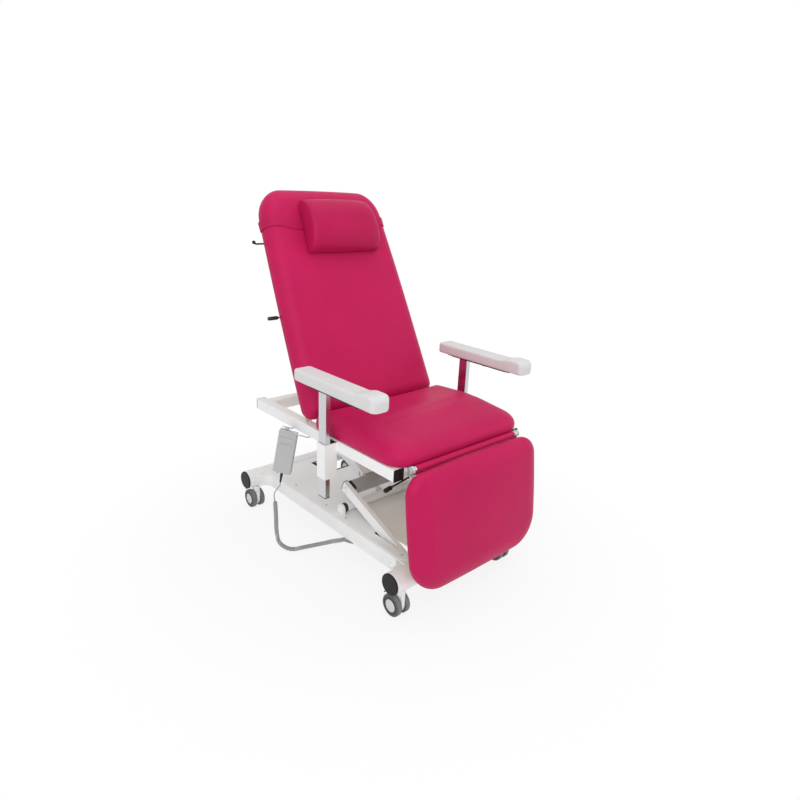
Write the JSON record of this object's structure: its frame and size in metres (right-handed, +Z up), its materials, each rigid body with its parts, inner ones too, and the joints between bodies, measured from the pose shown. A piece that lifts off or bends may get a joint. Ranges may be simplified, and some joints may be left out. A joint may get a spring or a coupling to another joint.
{
  "type": "rest armchair",
  "caption": "Clinic rest armchair on castors with a parallelogram lift, reclining back, hinged leg rest, sliding armrests and a corded handset",
  "frame": {"origin": "on the floor under the middle of the chair's box, which is measured without the cord", "axes": "+Z up, -Y is the side that the sitter faces, +X is the sitter's left"},
  "size_m": [0.7633, 1.1185, 1.3171],
  "materials": {
    "white_paint": "gloss powder coat",
    "vinyl": "raspberry upholstery vinyl, satin",
    "black_plastic": "fine matt",
    "wheel_grey": "satin",
    "chrome": "polished",
    "pad_grey": "skinned foam",
    "handset_grey": "satin",
    "cable_grey": "satin",
    "plywood": "bare birch plywood"
  },
  "bodies": {
    "base": {"cross_tubes": "white_paint", "tube_end_caps": "black_plastic", "base_rails": "white_paint", "base_cover": "white_paint", "link_brackets": "white_paint", "base_pivot_pins": "white_paint", "lift_actuator": "black_plastic", "control_box": "black_plastic", "cord_tail": "cable_grey"},
    "castor_fl": {"castor_fl_fork": "white_paint"},
    "castor_fl_wheel_pair": {"castor_fl_wheels": "wheel_grey"},
    "castor_fl_pedal": {"castor_fl_brake": "black_plastic"},
    "castor_fr": {"castor_fr_fork": "white_paint"},
    "castor_fr_wheel_pair": {"castor_fr_wheels": "wheel_grey"},
    "castor_fr_pedal": {"castor_fr_brake": "black_plastic"},
    "castor_rl": {"castor_rl_fork": "white_paint"},
    "castor_rl_wheel_pair": {"castor_rl_wheels": "wheel_grey"},
    "castor_rl_pedal": {"castor_rl_brake": "black_plastic"},
    "castor_rr": {"castor_rr_fork": "white_paint"},
    "castor_rr_wheel_pair": {"castor_rr_wheels": "wheel_grey"},
    "castor_rr_pedal": {"castor_rr_brake": "black_plastic"},
    "actuator_rod": {"actuator_rod": "chrome"},
    "lift_arms": {"lift_arms": "white_paint", "lift_cross_tube": "white_paint", "lift_end_caps": "black_plastic", "lift_crank": "white_paint", "lift_pivot_pins": "white_paint"},
    "levelling_link": {"levelling_link": "white_paint"},
    "seat_frame": {"seat_rail_left": "white_paint", "seat_rail_right": "white_paint", "rail_end_caps": "black_plastic", "seat_cross_members": "white_paint", "seat_hanger": "white_paint", "armrest_sleeves": "white_paint", "sleeve_bushes": "black_plastic", "handset_hook": "chrome", "leg_hinge_shaft": "chrome", "leg_roll": "vinyl", "seat_board": "plywood", "seat_cushion": "vinyl", "handset_housing": "handset_grey", "handset_relief": "black_plastic", "curly_cord": "cable_grey"},
    "handset_button_up": {"handset_button_up": "handset_grey"},
    "handset_button_down": {"handset_button_down": "handset_grey"},
    "backrest": {"back_board": "plywood", "back_cushion": "vinyl"},
    "back_lever_upper": {"back_lever_upper": "black_plastic"},
    "back_lever_lower": {"back_lever_lower": "chrome"},
    "headrest": {"head_pillow": "vinyl", "head_strap": "vinyl"},
    "leg_rest": {"leg_board": "plywood", "leg_cushion": "vinyl", "leg_brackets": "chrome"},
    "leg_lever": {"leg_lever": "black_plastic"},
    "armrest_left": {"armrest_post_left": "chrome", "armrest_pad_left": "pad_grey"},
    "armrest_right": {"armrest_post_right": "chrome", "armrest_pad_right": "pad_grey"}
  },
  "joints": [
    {"name": "castor_fl_swivel", "type": "hinge", "parent": "base", "child": "castor_fl", "pos_m": [0.262, -0.42934, 0.106], "axis": [0, 0, 1], "continuous": true},
    {"name": "castor_fl_roll", "type": "hinge", "parent": "castor_fl", "child": "castor_fl_wheel_pair", "pos_m": [0.262, -0.41034, 0.04], "axis": [1, 0, 0], "continuous": true},
    {"name": "castor_fl_brake_press", "type": "hinge", "parent": "castor_fl", "child": "castor_fl_pedal", "pos_m": [0.262, -0.40534, 0.087], "axis": [-1, 0, 0], "range_deg": [0, 8]},
    {"name": "castor_fr_swivel", "type": "hinge", "parent": "base", "child": "castor_fr", "pos_m": [-0.262, -0.42934, 0.106], "axis": [0, 0, 1], "continuous": true},
    {"name": "castor_fr_roll", "type": "hinge", "parent": "castor_fr", "child": "castor_fr_wheel_pair", "pos_m": [-0.262, -0.41034, 0.04], "axis": [1, 0, 0], "continuous": true},
    {"name": "castor_fr_brake_press", "type": "hinge", "parent": "castor_fr", "child": "castor_fr_pedal", "pos_m": [-0.262, -0.40534, 0.087], "axis": [-1, 0, 0], "range_deg": [0, 8]},
    {"name": "castor_rl_swivel", "type": "hinge", "parent": "base", "child": "castor_rl", "pos_m": [0.262, 0.50066, 0.106], "axis": [0, 0, 1], "continuous": true},
    {"name": "castor_rl_roll", "type": "hinge", "parent": "castor_rl", "child": "castor_rl_wheel_pair", "pos_m": [0.262, 0.51966, 0.04], "axis": [1, 0, 0], "continuous": true},
    {"name": "castor_rl_brake_press", "type": "hinge", "parent": "castor_rl", "child": "castor_rl_pedal", "pos_m": [0.262, 0.52466, 0.087], "axis": [-1, 0, 0], "range_deg": [0, 8]},
    {"name": "castor_rr_swivel", "type": "hinge", "parent": "base", "child": "castor_rr", "pos_m": [-0.262, 0.50066, 0.106], "axis": [0, 0, 1], "continuous": true},
    {"name": "castor_rr_roll", "type": "hinge", "parent": "castor_rr", "child": "castor_rr_wheel_pair", "pos_m": [-0.262, 0.51966, 0.04], "axis": [1, 0, 0], "continuous": true},
    {"name": "castor_rr_brake_press", "type": "hinge", "parent": "castor_rr", "child": "castor_rr_pedal", "pos_m": [-0.262, 0.52466, 0.087], "axis": [-1, 0, 0], "range_deg": [0, 8]},
    {"name": "lift", "type": "hinge", "parent": "base", "child": "lift_arms", "pos_m": [0, -0.34634, 0.135], "axis": [1, 0, 0], "range_deg": [0, 38]},
    {"name": "lift_levelling", "type": "hinge", "parent": "lift_arms", "child": "seat_frame", "pos_m": [0, 0.02665, 0.28494], "axis": [1, 0, 0], "range_deg": [-38, 0]},
    {"name": "link_swing", "type": "hinge", "parent": "base", "child": "levelling_link", "pos_m": [0, -0.01134, 0.192], "axis": [1, 0, 0], "range_deg": [0, 38]},
    {"name": "actuator_rod_stroke", "type": "slide", "parent": "base", "child": "actuator_rod", "axis": [0, 0.9961, 0.0884], "range_m": [0, 0.0377]},
    {"name": "recline", "type": "hinge", "parent": "seat_frame", "child": "backrest", "pos_m": [0, 0.07036, 0.543], "axis": [-1, 0, 0], "range_deg": [-10, 63.6]},
    {"name": "back_lever_upper_press", "type": "hinge", "parent": "backrest", "child": "back_lever_upper", "pos_m": [-0.205, 0.36996, 1.13305], "axis": [0, 0.8957, -0.4446], "range_deg": [-15, 0], "stiffness_Nm_per_rad": 0.8, "springref_deg": 8.59},
    {"name": "back_lever_lower_press", "type": "hinge", "parent": "backrest", "child": "back_lever_lower", "pos_m": [-0.205, 0.24724, 0.88583], "axis": [0, 0.8957, -0.4446], "range_deg": [-15, 0], "stiffness_Nm_per_rad": 0.8, "springref_deg": 8.59},
    {"name": "head_pillow_slide", "type": "slide", "parent": "backrest", "child": "headrest", "axis": [0, 0.4446, 0.8957], "range_m": [0, 0.024]},
    {"name": "leg_rest_swing", "type": "hinge", "parent": "seat_frame", "child": "leg_rest", "pos_m": [0, -0.44034, 0.534], "axis": [-1, 0, 0], "range_deg": [0, 82.5]},
    {"name": "leg_lever_lift", "type": "hinge", "parent": "seat_frame", "child": "leg_lever", "pos_m": [-0.19, -0.37634, 0.47], "axis": [0, 1, 0], "range_deg": [0, 12], "stiffness_Nm_per_rad": 0.8, "springref_deg": -8.59},
    {"name": "armrest_left_slide", "type": "slide", "parent": "seat_frame", "child": "armrest_left", "axis": [0, 0, 1], "range_m": [-0.12, 0.06]},
    {"name": "armrest_right_slide", "type": "slide", "parent": "seat_frame", "child": "armrest_right", "axis": [0, 0, 1], "range_m": [-0.12, 0.06]},
    {"name": "button_up_press", "type": "slide", "parent": "seat_frame", "child": "handset_button_up", "axis": [0.7793, 0.6266, 0], "range_m": [0, 0.0009], "stiffness_N_per_m": 900, "springref_m": -0.0006},
    {"name": "button_down_press", "type": "slide", "parent": "seat_frame", "child": "handset_button_down", "axis": [0.7793, 0.6266, 0], "range_m": [0, 0.0009], "stiffness_N_per_m": 900, "springref_m": -0.0006}
  ],
  "couplings": [
    {"joint": "lift_levelling", "follows": "lift", "ratio": -1},
    {"joint": "link_swing", "follows": "lift", "ratio": 1},
    {"joint": "actuator_rod_stroke", "follows": "lift", "m_per_rad": 0.05672}
  ]
}
